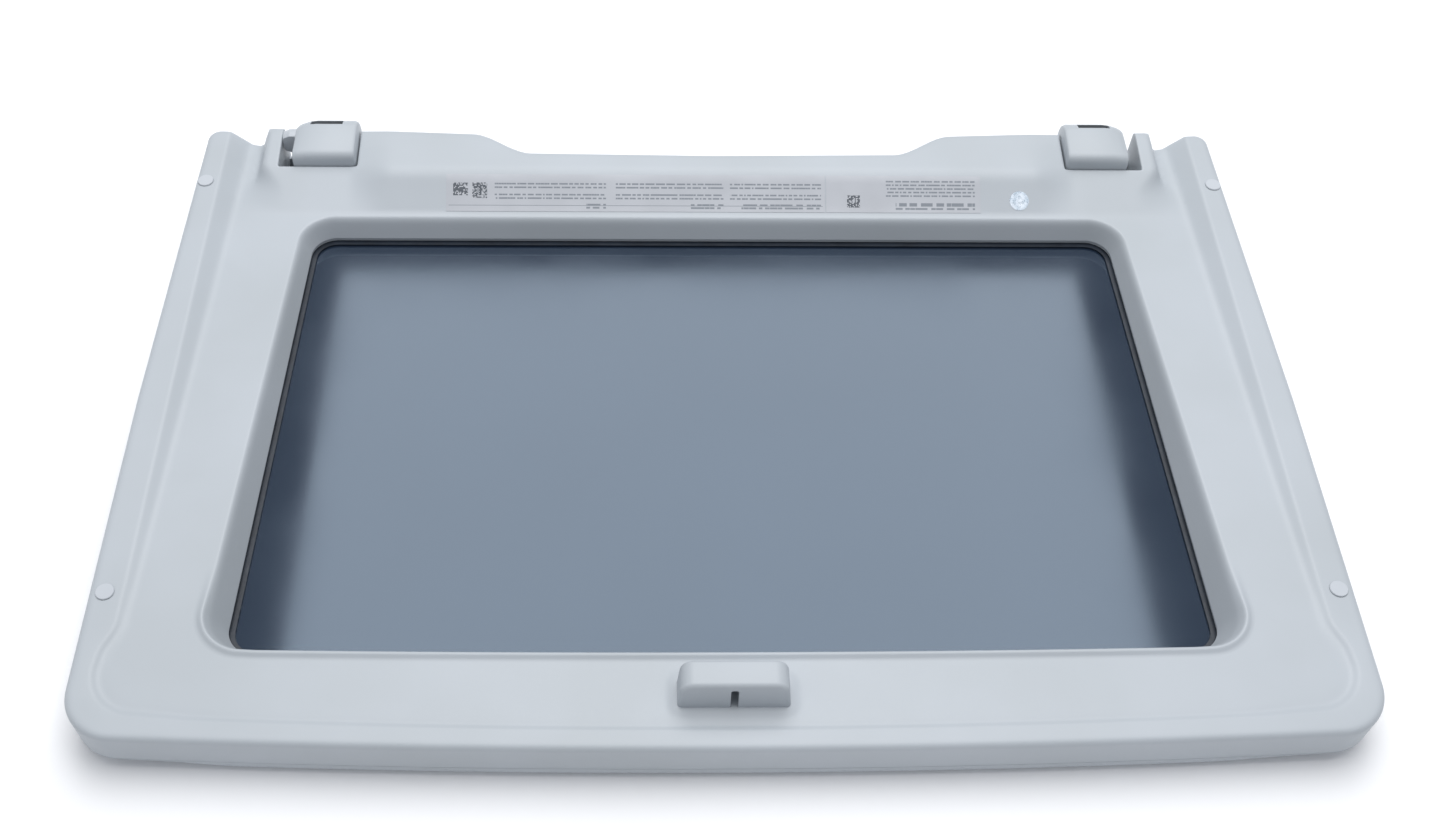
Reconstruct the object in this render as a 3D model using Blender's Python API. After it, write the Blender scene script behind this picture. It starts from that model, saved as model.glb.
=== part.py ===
"""Lid of a top-load washing machine, lying inner side up on its outer face.

A white outer frame carries a tinted glass panel, and a deep white inner cover closes over
it. Hinge fittings sit under two caps at the back edge, and the lock strike stands near the
front edge.
X runs along the hinge line, +Y points to the hinge edge, +Z is the inner side of the lid.
"""
import math

import bmesh
import bpy
from mathutils import Matrix, Vector

MM = 0.001

# Overall sizes of the lid.
HALF_WIDTH = 320 * MM
HINGE_END_HALF_WIDTH = 316 * MM
FRONT_Y = -210.8 * MM
FRONT_BOW = 7 * MM
BACK_RAIL_Y = 212 * MM
BACK_HINGE_Y = 205 * MM
BACK_MIDDLE_Y = 185 * MM
FRONT_CORNER_R = 27 * MM
RAIL_TOP = 30 * MM
WALL = 2.5 * MM
FIT_GAP = 0.3 * MM

# Outer frame: a shallow tray whose rib stands inside the cover's wall.
FRAME_WALL = 3 * MM
PARTING_Z = 9 * MM
RIB_WIDTH = 2 * MM
RIB_TOP = 14 * MM

# Inner cover: inner edge of its rails, the sunken panel and the raised hinge deck.
RAIL_INNER_X = 302.7 * MM
RIM_INNER_Y = -199.9 * MM
RIM_INNER_BOW = 4.6 * MM
LAND = 0.8 * MM
PANEL_DEPTH_FRONT = 2.5 * MM
PANEL_DEPTH_Y = -122 * MM
PANEL_FALL = 0.0213
POCKET_RIM_Z = 32.5 * MM
DECK_TOP = 36.5 * MM
SLOPE_START_Y = 146 * MM
SLOPE_END_Y = 169.5 * MM
COVER_BOTTOM = 8.7 * MM

# Window through the cover, at its foot; it widens upwards.
WINDOW_HALF_FRONT = 252.5 * MM
WINDOW_HALF_BACK = 244 * MM
WINDOW_FRONT_Y = -150 * MM
WINDOW_BACK_Y = 138 * MM
WINDOW_CORNER_R = 14 * MM
WINDOW_SPREAD = 6.5 * MM
WINDOW_FOOT_Z = 8 * MM
WINDOW_RISE = 17 * MM

# Glass and what holds it, stacked from the outer face upwards.
GLASS_HALF_WIDTH = 266 * MM
GLASS_FRONT_Y = -168 * MM
GLASS_BACK_Y = 156 * MM
GLASS_CORNER_R = 20 * MM
GLASS_BOTTOM = 0.8 * MM
GLASS_TOP = 4.8 * MM
GASKET_BOTTOM = GLASS_TOP + FIT_GAP
GASKET_TOP = 6.1 * MM
LEDGE_BOTTOM = GASKET_TOP + FIT_GAP
LEDGE_TOP = COVER_BOTTOM - FIT_GAP

# Hinge line and the pockets that its fittings sit in.
AXIS_Y = 199.5 * MM
AXIS_Z = 32 * MM
POCKET_INNER_X = 219.4 * MM
POCKET_OUTER_X = 267.8 * MM
POCKET_FRONT_Y = 177 * MM
CAP_INNER_X = 220.3 * MM
CAP_OUTER_X = 258.5 * MM
CAP_RADIUS = 12.5 * MM
CAP_WALL = 1.8 * MM
BARREL_RADIUS = 8.5 * MM
BARREL_INNER_X = 225.5 * MM
BARREL_OUTER_X = 254 * MM
BORE_RADIUS = 5.7 * MM
ROTOR_RADIUS = BORE_RADIUS - FIT_GAP
KEY_ACROSS_FLATS = 6.8 * MM
SHAFT_TIP_X = 267 * MM
SHAFT_HEAD_RADIUS = 7.6 * MM
KEY_LENGTH = 8 * MM
BUSH_FACE_X = 253.7 * MM
SOCKET_RADIUS = 4.2 * MM
SOCKET_DEPTH = 14 * MM
SHEET = 1.5 * MM
BOSS_TOP = 18 * MM
BOSS_POINTS = [(232 * MM, 186 * MM), (246 * MM, 186 * MM)]

# Lock strike near the front edge.
STRIKE_X = 1 * MM
STRIKE_SCREW_OFFSET = 19 * MM
STRIKE_SCREW_Y = -180 * MM
STRIKE_MAGNET_X = STRIKE_X - 9 * MM

SIDE_NAMES = {-1: "left", 1: "right"}
BUMPER_POINTS = {
    "bumper_front_left": (-311.5 * MM, -124 * MM),
    "bumper_front_right": (311.5 * MM, -124 * MM),
    "bumper_back_left": (-310.5 * MM, 166 * MM),
    "bumper_back_right": (310.5 * MM, 166 * MM),
}


def clear_scene():
    for item in list(bpy.data.objects):
        bpy.data.objects.remove(item, do_unlink=True)


def material(name, color, roughness, metallic=0.0, alpha=1.0):
    surface = bpy.data.materials.new(name)
    surface.use_nodes = True
    shader = surface.node_tree.nodes["Principled BSDF"]
    shader.inputs["Base Color"].default_value = (*color, 1.0)
    shader.inputs["Roughness"].default_value = roughness
    shader.inputs["Metallic"].default_value = metallic
    shader.inputs["Alpha"].default_value = alpha
    surface.diffuse_color = (*color, alpha)
    return surface


def solid_from_mesh(name, mesh_data):
    """Turn a bmesh into a named object in the scene."""
    mesh = bpy.data.meshes.new(name)
    bmesh.ops.recalc_face_normals(mesh_data, faces=mesh_data.faces)
    mesh_data.to_mesh(mesh)
    mesh_data.free()
    item = bpy.data.objects.new(name, mesh)
    bpy.context.scene.collection.objects.link(item)
    return item


def combine(base, tool, operation="DIFFERENCE"):
    """Cut, join or intersect base with tool, then remove the tool."""
    change = base.modifiers.new("combine", "BOOLEAN")
    change.operation = operation
    change.object = tool
    change.solver = "EXACT"
    bpy.context.view_layer.update()
    graph = bpy.context.evaluated_depsgraph_get()
    result = bpy.data.meshes.new_from_object(base.evaluated_get(graph))
    base.modifiers.clear()
    base.data = result
    bpy.data.objects.remove(tool, do_unlink=True)
    return base


def finish(item, surface, smooth_angle=35):
    """Give a finished piece its one material and smooth its round faces."""
    item.data.materials.clear()
    item.data.materials.append(surface)
    for face in item.data.polygons:
        face.material_index = 0
    item.data.shade_smooth()
    item.data.set_sharp_from_angle(angle=math.radians(smooth_angle))
    return item


def arc(center_x, center_y, radius, start, end, steps):
    """Points on an arc, angles in degrees, both ends included."""
    points = []
    for step in range(steps + 1):
        angle = math.radians(start + (end - start) * step / steps)
        points.append((center_x + radius * math.cos(angle), center_y + radius * math.sin(angle)))
    return points


def smooth_step(low, high, value):
    ratio = min(max((value - low) / (high - low), 0.0), 1.0)
    return ratio * ratio * (3 - 2 * ratio)


def ease_points(start, end, steps):
    """Points of an S-shaped run from start to end, without the start."""
    points = []
    for step in range(1, steps + 1):
        ratio = step / steps
        blend = smooth_step(0, 1, ratio)
        points.append((start[0] + (end[0] - start[0]) * ratio, start[1] + (end[1] - start[1]) * blend))
    return points


def mirror_outline(right_half):
    """Close an outline from its right half, which runs from front centre to back centre."""
    left_half = [(-x, y) for x, y in reversed(right_half) if x > 0.01 * MM]
    return right_half + left_half


def inset(points, distance):
    """Move a closed counter-clockwise outline inwards; distance may depend on the point."""
    moved = []
    for index, (x, y) in enumerate(points):
        before = Vector(points[index - 1])
        here = Vector((x, y))
        after = Vector(points[(index + 1) % len(points)])
        first = (here - before).normalized()
        second = (after - here).normalized()
        inward = Vector((-first.y - second.y, first.x + second.x))
        inward /= 1 + first.dot(second)
        amount = distance(x, y) if callable(distance) else distance
        moved.append((x + inward.x * amount, y + inward.y * amount))
    return moved


def loft(name, rings):
    """A closed solid through a stack of counter-clockwise rings of 3-D points."""
    mesh_data = bmesh.new()
    stacks = [[mesh_data.verts.new(point) for point in ring] for ring in rings]
    count = len(rings[0])
    for lower, upper in zip(stacks, stacks[1:]):
        for index in range(count):
            following = (index + 1) % count
            mesh_data.faces.new((lower[index], lower[following], upper[following], upper[index]))
    mesh_data.faces.new(list(reversed(stacks[0])))
    mesh_data.faces.new(stacks[-1])
    return solid_from_mesh(name, mesh_data)


def level(points, height):
    return [(x, y, height) for x, y in points]


def prism(name, outline, bottom, top):
    return loft(name, [level(outline, bottom), level(outline, top)])


def box(name, low, high):
    outline = [(low[0], low[1]), (high[0], low[1]), (high[0], high[1]), (low[0], high[1])]
    return prism(name, outline, low[2], high[2])


def turned(name, profile, center, axis="Z", segments=32):
    """A solid of revolution from (radius, height) points that start and end on the axis."""
    mesh_data = bmesh.new()
    rings = []
    for radius, height in profile:
        if radius == 0:
            rings.append([mesh_data.verts.new((0, 0, height))])
            continue
        ring = []
        for step in range(segments):
            angle = 2 * math.pi * step / segments
            ring.append(mesh_data.verts.new((radius * math.cos(angle), radius * math.sin(angle), height)))
        rings.append(ring)
    for lower, upper in zip(rings, rings[1:]):
        for step in range(segments):
            following = (step + 1) % segments
            corners = [lower[step % len(lower)], lower[following % len(lower)],
                       upper[following % len(upper)], upper[step % len(upper)]]
            mesh_data.faces.new(list(dict.fromkeys(corners)))
    turn = Matrix.Rotation(math.radians(90), 4, "Y") if axis == "X" else Matrix.Identity(4)
    bmesh.ops.transform(mesh_data, matrix=Matrix.Translation(center) @ turn, verts=mesh_data.verts)
    return solid_from_mesh(name, mesh_data)


def rod(name, radius, start, length, axis="Z", segments=32):
    """A plain round rod from its start point along +Z or +X."""
    return turned(name, [(0, 0), (radius, 0), (radius, length), (0, length)], start, axis, segments)


def rounded_rectangle(half_width, front, back, radius, steps=6):
    right_half = [(0, front)]
    right_half += arc(half_width - radius, front + radius, radius, -90, 0, steps)
    right_half += arc(half_width - radius, back - radius, radius, 0, 90, steps)
    right_half += [(0, back)]
    return mirror_outline(right_half)


def back_edge():
    """Back edge of the right half, from the rail's end to the centre."""
    points = [(293 * MM, BACK_RAIL_Y - 1 * MM), (285 * MM, 209 * MM), (266 * MM, 208.5 * MM)]
    points += [(219 * MM, BACK_HINGE_Y + 1.5 * MM), (150 * MM, BACK_HINGE_Y - 1.5 * MM)]
    points += ease_points((150 * MM, BACK_HINGE_Y - 1.5 * MM), (112 * MM, BACK_MIDDLE_Y + 1.5 * MM), 8)
    points += [(0, BACK_MIDDLE_Y)]
    return points


def lid_outline():
    corner_x = HALF_WIDTH - FRONT_CORNER_R
    right_half = []
    for step in range(7):
        x = corner_x * step / 7
        right_half.append((x, FRONT_Y + FRONT_BOW * (x / corner_x) ** 2))
    right_half += arc(corner_x, FRONT_Y + FRONT_BOW + FRONT_CORNER_R, FRONT_CORNER_R, -90, 0, 9)
    right_half += [(HALF_WIDTH, 0)]
    end_radius = 8 * MM
    right_half += arc(HINGE_END_HALF_WIDTH - end_radius, BACK_RAIL_Y - end_radius, end_radius, 0, 90, 5)
    right_half += back_edge()
    return mirror_outline(right_half)


def ease_points_upright(start, end, steps):
    """Like ease_points, for a run that goes mainly along Y."""
    swapped = ease_points((start[1], start[0]), (end[1], end[0]), steps)
    return [(x, y) for y, x in swapped]


def sunken_outline():
    """Inner edge of the rim and rails, carried straight on past the back edge."""
    beyond = 235 * MM
    right_half = []
    for step in range(8):
        x = 264 * MM * step / 7
        right_half.append((x, RIM_INNER_Y + RIM_INNER_BOW * (x / (223.6 * MM)) ** 2))
    right_half += arc(284.4 * MM, -166.7 * MM, 24.8 * MM, -80, 8, 7)
    right_half += ease_points_upright((308.6 * MM, -160 * MM), (RAIL_INNER_X, -140 * MM), 5)
    right_half += [(RAIL_INNER_X, 150 * MM), (RAIL_INNER_X, beyond), (0, beyond)]
    return mirror_outline(right_half)


def panel_height(y):
    return RAIL_TOP - PANEL_DEPTH_FRONT - PANEL_FALL * (y - PANEL_DEPTH_Y)


def band_width(x, y):
    """Width in plan of the slanted band between the rails and the panel."""
    depth = RAIL_TOP - panel_height(min(y, BACK_RAIL_Y))
    corner = smooth_step(258 * MM, 280 * MM, abs(x)) * smooth_step(-142 * MM, -158 * MM, y)
    return LAND + 0.85 * depth + 2.6 * MM * corner


def ramp(low, high, value):
    return min(max((value - low) / (high - low), 0.0), 1.0)


def deck_height(x, y):
    """Top of the raised hinge deck over the panel, also where it fades into the panel."""
    base = panel_height(y)
    middle = base + (DECK_TOP - base) * ramp(SLOPE_START_Y, SLOPE_END_Y, y)
    sides = base + (POCKET_RIM_Z - base) * ramp(SLOPE_START_Y, POCKET_FRONT_Y, y)
    sides += 3 * MM * ramp(POCKET_FRONT_Y, BACK_HINGE_Y, y)
    height = middle + (sides - middle) * smooth_step(197 * MM, 225 * MM, abs(x))
    behind = smooth_step(160 * MM, 180 * MM, y)
    fade = 1 - smooth_step((262 + 14 * behind) * MM, (292 - 8 * behind) * MM, abs(x))
    buried = base - 0.4 * MM
    return buried + (height - buried) * fade


def deck_block(drop):
    """The hinge deck as a block whose top follows deck_height."""
    right = [0, 198, 203.5, 209.5, 216.2, 223.5, 238, 254, 266]
    right += [270.5, 275.8, 278.2, 280.2, 282.2, 284.3, 288, 291.5]
    columns = [-x * MM for x in reversed(right[1:])] + [x * MM for x in right]
    rows = [y * MM for y in (140, 146, 154, 162, 169.5, 174.2, 180.3, 187, 196, 205.3, 220)]
    mesh_data = bmesh.new()
    top = []
    for y in rows:
        top.append([mesh_data.verts.new((x, y, deck_height(x, y) - drop)) for x in columns])
    for lower, upper in zip(top, top[1:]):
        for index in range(len(columns) - 1):
            mesh_data.faces.new((lower[index], lower[index + 1], upper[index + 1], upper[index]))
    made = bmesh.ops.extrude_face_region(mesh_data, geom=list(mesh_data.faces))
    for item in made["geom"]:
        if isinstance(item, bmesh.types.BMVert):
            item.co.z = 12 * MM
    return solid_from_mesh("deck_block", mesh_data)


def space_above_cover(drop):
    """Everything above the cover's top surface, lowered by drop."""
    rim = sunken_outline()
    foot = inset(rim, lambda x, y: band_width(x, y))
    land = inset(rim, LAND)
    sky = box("sky", (-400 * MM, -300 * MM, RAIL_TOP - drop), (400 * MM, 300 * MM, 80 * MM))
    sunk = loft("sunk", [
        [(x, y, panel_height(y) - drop) for x, y in foot],
        level(land, RAIL_TOP - drop),
        level(land, RAIL_TOP + 5 * MM),
    ])
    combine(sky, sunk, "UNION")
    return combine(sky, deck_block(drop))


def cover_envelope(name, inset_by, drop, bottom):
    """The cover as a full block: its outline and its top surface, without hollows."""
    outline = inset(lid_outline(), inset_by)
    edge = [(0, bottom), (0, 25.8 * MM - drop), (0.8 * MM, 28.8 * MM - drop),
            (2 * MM, RAIL_TOP + 0.4 * MM - drop), (2 * MM, 60 * MM)]
    block = loft(name, [level(inset(outline, step), z) for step, z in edge])
    return combine(block, space_above_cover(drop))


def window_outline(height, grow=0.0):
    """Outline of the window at a height: a rounded trapezium with a bowed front."""
    spread = (height - WINDOW_FOOT_Z) / WINDOW_RISE
    half_front = WINDOW_HALF_FRONT + WINDOW_SPREAD * spread + grow
    half_back = WINDOW_HALF_BACK + WINDOW_SPREAD * spread + grow
    front = WINDOW_FRONT_Y - 6 * MM * spread - grow
    back = WINDOW_BACK_Y + 6 * MM * spread + grow
    radius = WINDOW_CORNER_R + 8 * MM * spread + grow
    bow = 2.5 * MM
    right_half = []
    for step in range(5):
        x = (half_front - radius) * step / 5
        right_half.append((x, front + bow * (x / half_front) ** 2))
    right_half += arc(half_front - radius, front + bow + radius, radius, -90, 0, 7)
    right_half += arc(half_back - radius, back - radius, radius, 0, 90, 7)
    right_half += [(0, back)]
    return mirror_outline(right_half)


def window_cutter(name, bottom, top, grow=0.0):
    return loft(name, [level(window_outline(z, grow), z) for z in (bottom, top)])


def pocket_box(side, grow=0.0):
    """Hinge pocket on one side, open towards the back edge."""
    ends = sorted([side * (POCKET_INNER_X - grow), side * (POCKET_OUTER_X + grow)])
    return box("pocket", (ends[0], POCKET_FRONT_Y - grow, -8 * MM), (ends[1], 240 * MM, 90 * MM))


def window_lip():
    """Raised bead round the front of the window, fading out up its sides."""
    rim = [point for point in window_outline(26 * MM, 2.2 * MM) if point[1] < -100 * MM]
    right = sorted([point for point in rim if point[0] >= 0], key=lambda point: (point[0], point[1]))
    tail_x = right[-1][0]
    path = right + [(tail_x, -120 * MM), (tail_x - 0.3 * MM, -105 * MM)]
    path = [(-x, y) for x, y in reversed(path)] + path[1:]
    mesh_data = bmesh.new()
    rings = []
    for index, (x, y) in enumerate(path):
        before = Vector(path[max(index - 1, 0)])
        after = Vector(path[min(index + 1, len(path) - 1)])
        along = (after - before).normalized()
        across = Vector((along.y, -along.x))
        foot = panel_height(y) - 1 * MM
        crest = 2.1 * MM * smooth_step(-104 * MM, -135 * MM, y)
        ring = []
        for offset, rise in ((-2.1, -1), (-1.9, 0.0), (-1.0, 1.0), (0.4, 1.0), (1.8, 0.25), (3.0, -1)):
            height = foot if rise < 0 else panel_height(y) + crest * rise
            ring.append(mesh_data.verts.new((x + across.x * offset * MM, y + across.y * offset * MM, height)))
        rings.append(ring)
    for first, second in zip(rings, rings[1:]):
        for step in range(len(first)):
            following = (step + 1) % len(first)
            mesh_data.faces.new((first[step], first[following], second[following], second[step]))
    mesh_data.faces.new(rings[0])
    mesh_data.faces.new(rings[-1])
    return solid_from_mesh("window_lip", mesh_data)


def inner_cover(surface):
    """Deep white moulding: rails, rim, panel, window walls, hinge deck and pockets."""
    hollow = cover_envelope("hollow", WALL, WALL, -5 * MM)
    combine(hollow, window_cutter("tower", -6 * MM, 70 * MM, WALL))
    for side in (-1, 1):
        combine(hollow, pocket_box(side, WALL))
    cover = cover_envelope("inner_cover", 0.0, 0.0, PARTING_Z)
    combine(cover, window_lip(), "UNION")
    combine(cover, hollow)
    combine(cover, window_cutter("window", -6 * MM, 70 * MM))
    for side in (-1, 1):
        combine(cover, pocket_box(side))
        screw_x = STRIKE_X + side * STRIKE_SCREW_OFFSET
        combine(cover, rod("hole", 1.8 * MM, (screw_x, STRIKE_SCREW_Y, 20 * MM), 15 * MM))
    for x, y in BUMPER_POINTS.values():
        combine(cover, rod("bumper_hole", 2.3 * MM, (x, y, 20 * MM), 20 * MM, segments=24))
    return finish(cover, surface)


def outer_frame(surface):
    """Shallow tray: outer wall with a rib for the cover, glass ledge and screw bosses."""
    outline = lid_outline()
    rib_outside = WALL + FIT_GAP
    edge = [(5 * MM, 0), (1.6 * MM, 1.4 * MM), (0, 5.5 * MM), (0, PARTING_Z - FIT_GAP),
            (rib_outside, PARTING_Z - FIT_GAP), (rib_outside, RIB_TOP)]
    frame = loft("outer_frame", [level(inset(outline, step), z) for step, z in edge])
    hollow = prism("hollow", inset(outline, rib_outside + RIB_WIDTH), FRAME_WALL, 20 * MM)
    glass_seat = rounded_rectangle(
        GLASS_HALF_WIDTH + FRAME_WALL, GLASS_FRONT_Y - FRAME_WALL, GLASS_BACK_Y + FRAME_WALL,
        GLASS_CORNER_R + FRAME_WALL)
    combine(hollow, prism("riser", glass_seat, 1 * MM, LEDGE_TOP))
    combine(frame, hollow)
    play = 0.5 * MM
    glass_bay = rounded_rectangle(
        GLASS_HALF_WIDTH + play, GLASS_FRONT_Y - play, GLASS_BACK_Y + play, GLASS_CORNER_R + play)
    combine(frame, prism("glass_bay", glass_bay, -2 * MM, LEDGE_BOTTOM))
    combine(frame, prism("opening", window_outline(WINDOW_FOOT_Z, 1 * MM), -3 * MM, 12 * MM))
    for side in (-1, 1):
        ends = sorted([side * (POCKET_INNER_X - 3 * MM), side * (POCKET_OUTER_X + 3 * MM)])
        relief = box("relief", (ends[0], 196 * MM, PARTING_Z - FIT_GAP), (ends[1], 230 * MM, 20 * MM))
        combine(frame, relief)
        for x, y in BOSS_POINTS:
            boss = rod("boss", 4.5 * MM, (side * x, y, 1.5 * MM), BOSS_TOP - 1.5 * MM, segments=24)
            combine(frame, boss, "UNION")
            combine(frame, rod("boss_hole", 2.3 * MM, (side * x, y, 4.5 * MM), 20 * MM, segments=24))
    return finish(frame, surface)


def lid_glass(surface):
    edge = [(0.6, 0.0), (0.0, 0.6), (0.0, 3.4), (0.6, 4.0)]
    rings = []
    for step, z in edge:
        outline = rounded_rectangle(
            GLASS_HALF_WIDTH - step * MM, GLASS_FRONT_Y + step * MM, GLASS_BACK_Y - step * MM,
            GLASS_CORNER_R - step * MM)
        rings.append(level(outline, GLASS_BOTTOM + z * MM))
    return finish(loft("lid_glass", rings), surface)


def glass_ring(name, surface, outer, inner):
    """A flat ring between the glass and the ledge."""
    ring = prism(name, outer, GASKET_BOTTOM, GASKET_TOP)
    combine(ring, prism("ring_hole", inner, 0, 10 * MM))
    return finish(ring, surface)


def glass_seals(black, adhesive):
    split = 4 * MM
    glass_ring("glass_gasket", black,
               window_outline(WINDOW_FOOT_Z, split), window_outline(WINDOW_FOOT_Z, -2.2 * MM))
    outer = rounded_rectangle(
        GLASS_HALF_WIDTH - 2 * MM, GLASS_FRONT_Y + 2 * MM, GLASS_BACK_Y - 2 * MM, GLASS_CORNER_R - 2 * MM)
    glass_ring("glass_adhesive", adhesive, outer, window_outline(WINDOW_FOOT_Z, split + 0.5 * MM))


def lock_strike(surface):
    """Upright block near the front edge with the slot that the lid lock enters."""
    stations = [(29.25, 27.5, -189.0, -173.0, 3.0), (43.0, 27.0, -187.4, -173.2, 3.5),
                (46.5, 25.8, -186.6, -173.5, 4.0), (48.4, 23.5, -185.4, -174.2, 3.5),
                (49.0, 21.5, -184.2, -175.0, 2.5)]
    rings = []
    for z, half, front, back, radius in stations:
        outline = rounded_rectangle(half * MM, front * MM, back * MM, radius * MM, 5)
        rings.append([(x + STRIKE_X, y, z * MM) for x, y in outline])
    strike = loft("lock_strike", rings)
    low = (STRIKE_X - 2.4 * MM, -200 * MM, 31 * MM)
    combine(strike, box("slot", low, (STRIKE_X + 2.4 * MM, -178 * MM, 46.5 * MM)))
    for side in (-1, 1):
        screw_x = STRIKE_X + side * STRIKE_SCREW_OFFSET
        combine(strike, rod("hole", 1.8 * MM, (screw_x, STRIKE_SCREW_Y, 25 * MM), 16 * MM))
    combine(strike, rod("magnet_bay", 4.3 * MM, (STRIKE_MAGNET_X, STRIKE_SCREW_Y, 25 * MM), 15.5 * MM))
    return finish(strike, surface)


def screw_profile(head_radius, head_height, shank_radius, length):
    """Pan head over a shank with a pointed tip; heights run from the tip upwards."""
    tip = shank_radius
    return [(0, 0), (shank_radius * 0.35, 0.15 * tip), (shank_radius, tip), (shank_radius, length),
            (head_radius, length), (head_radius, length + head_height * 0.55),
            (head_radius * 0.7, length + head_height), (0, length + head_height)]


def strike_fittings(steel, magnet):
    profile = [(radius, -height) for radius, height in screw_profile(3 * MM, 1.8 * MM, 1.5 * MM, 13 * MM)]
    for side in (-1, 1):
        screw_x = STRIKE_X + side * STRIKE_SCREW_OFFSET
        screw = turned("strike_screw_" + SIDE_NAMES[side], profile, (screw_x, STRIKE_SCREW_Y, 38.8 * MM),
                       segments=20)
        finish(screw, steel)
    piece = rod("strike_magnet", 4 * MM, (STRIKE_MAGNET_X, STRIKE_SCREW_Y, 29.5 * MM), 10 * MM)
    finish(piece, magnet)


def bumpers(surface):
    """Four low buffers on the rails, each with a stem through the rail's top."""
    profile = [(0, -6), (1.6, -6), (2.0, -5.4), (2.0, 0.3), (4.7, 0.3), (4.7, 0.55), (4.4, 0.9), (0, 0.9)]
    for name, (x, y) in BUMPER_POINTS.items():
        piece = turned(name, [(radius * MM, z * MM) for radius, z in profile], (x, y, RAIL_TOP))
        finish(piece, surface)


def cap_outline(drop):
    """Side profile of a hinge cap in (y, z): low front, flat top, round back sunk by drop."""
    front = POCKET_FRONT_Y + 0.5 * MM
    points = [(AXIS_Y + 8.8 * MM, 15 * MM)]
    points += arc(AXIS_Y, AXIS_Z, CAP_RADIUS - drop, -45, 90, 12)
    points += arc(front + 5.5 * MM, 36.2 * MM - 0.3 * drop, 5.5 * MM, 100, 180, 5)
    points += [(front, 30 * MM), (front, 15 * MM)]
    return points


def cap_solid(name, stations, deeper=0.0):
    """The cap's shape through stations of (x, inset, drop of the round back)."""
    rings = []
    for x, inward, drop in stations:
        profile = inset(cap_outline(drop), inward)
        rings.append([(x, y, z - deeper if z < 20 * MM else z) for y, z in profile])
    return loft(name, rings)


def hinge_cap(name, side, surface):
    """White hood over a hinge barrel, open underneath, with a slot at the back of its top."""
    outside = [(CAP_INNER_X, 2, 0), (CAP_INNER_X + 0.6 * MM, 0.8, 0), (CAP_INNER_X + 2 * MM, 0, 0),
               (CAP_OUTER_X - 13 * MM, 0, 0), (CAP_OUTER_X - 8 * MM, 0, 0.6), (CAP_OUTER_X - 4 * MM, 0, 1.8),
               (CAP_OUTER_X - 1.5 * MM, 0, 3.1), (CAP_OUTER_X - 0.4 * MM, 0.3, 3.8), (CAP_OUTER_X, 1, 4)]
    cap = cap_solid(name, [(side * x, step * MM, drop * MM) for x, step, drop in outside])
    inside = [(CAP_INNER_X + CAP_WALL, 0), (CAP_OUTER_X - 13 * MM, 0), (CAP_OUTER_X - CAP_WALL, 1.2 * MM)]
    combine(cap, cap_solid("cap_inside", [(side * x, CAP_WALL, drop) for x, drop in inside], 20 * MM))
    middle = (CAP_INNER_X + CAP_OUTER_X) / 2
    ends = sorted([side * (middle - 10 * MM), side * (middle + 10 * MM)])
    slot_front = AXIS_Y + CAP_RADIUS * math.cos(math.radians(80))
    slot_back = AXIS_Y + CAP_RADIUS * math.cos(math.radians(53))
    combine(cap, box("top_slot", (ends[0], slot_front, AXIS_Z), (ends[1], slot_back, 60 * MM)))
    start = min(side * (CAP_OUTER_X - 8 * MM), side * (CAP_OUTER_X + 8 * MM))
    combine(cap, rod("shaft_hole", SHAFT_HEAD_RADIUS + 0.4 * MM, (start, AXIS_Y, AXIS_Z), 16 * MM, "X"))
    return finish(cap, surface)


def barrel(name, side, surface):
    """Round hinge barrel with a blind bore that opens towards the lid's side."""
    start = min(side * BARREL_INNER_X, side * BARREL_OUTER_X)
    piece = rod(name, BARREL_RADIUS, (start, AXIS_Y, AXIS_Z), BARREL_OUTER_X - BARREL_INNER_X, "X", 40)
    bore_start = min(side * (BARREL_INNER_X + 3 * MM), side * (BARREL_OUTER_X + 3 * MM))
    combine(piece, rod("bore", BORE_RADIUS, (bore_start, AXIS_Y, AXIS_Z),
                       BARREL_OUTER_X - BARREL_INNER_X, "X", 40))
    return finish(piece, surface)


def double_d(name, radius, start_x, length):
    """A rod along X with two flats, the shape of a keyed hinge pin."""
    piece = rod(name, radius, (start_x, AXIS_Y, AXIS_Z), length, "X", 40)
    half = KEY_ACROSS_FLATS / 2
    low = (start_x - 1 * MM, AXIS_Y - half, AXIS_Z - 20 * MM)
    high = (start_x + length + 1 * MM, AXIS_Y + half, AXIS_Z + 20 * MM)
    return combine(piece, box("flats", low, high), "INTERSECT")


def place_origin(item, point):
    """Put an object's origin on its joint axis without moving its shape."""
    item.data.transform(Matrix.Translation(-Vector(point)))
    item.location = point
    return item


def hinge_shaft_left(surface):
    """Rotor of the left damper, with the keyed head that a machine's ear holds."""
    head_length = SHAFT_TIP_X - BARREL_OUTER_X - 0.7 * MM
    profile = [(0, 0), (4.6 * MM, 0), (6 * MM, 0.5 * MM), (SHAFT_HEAD_RADIUS, 4.5 * MM),
               (SHAFT_HEAD_RADIUS, head_length), (ROTOR_RADIUS, head_length),
               (ROTOR_RADIUS, 38.2 * MM), (0, 38.2 * MM)]
    shaft = turned("hinge_shaft_left", profile, (-SHAFT_TIP_X, AXIS_Y, AXIS_Z), "X", 40)
    for side in (-1, 1):
        near = AXIS_Y + side * KEY_ACROSS_FLATS / 2
        far = AXIS_Y + side * 12 * MM
        low = (-SHAFT_TIP_X - 2 * MM, min(near, far), AXIS_Z - 12 * MM)
        high = (-SHAFT_TIP_X + KEY_LENGTH, max(near, far), AXIS_Z + 12 * MM)
        combine(shaft, box("flat", low, high))
    finish(shaft, surface)
    return place_origin(shaft, (-SHAFT_TIP_X, AXIS_Y, AXIS_Z))


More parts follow.
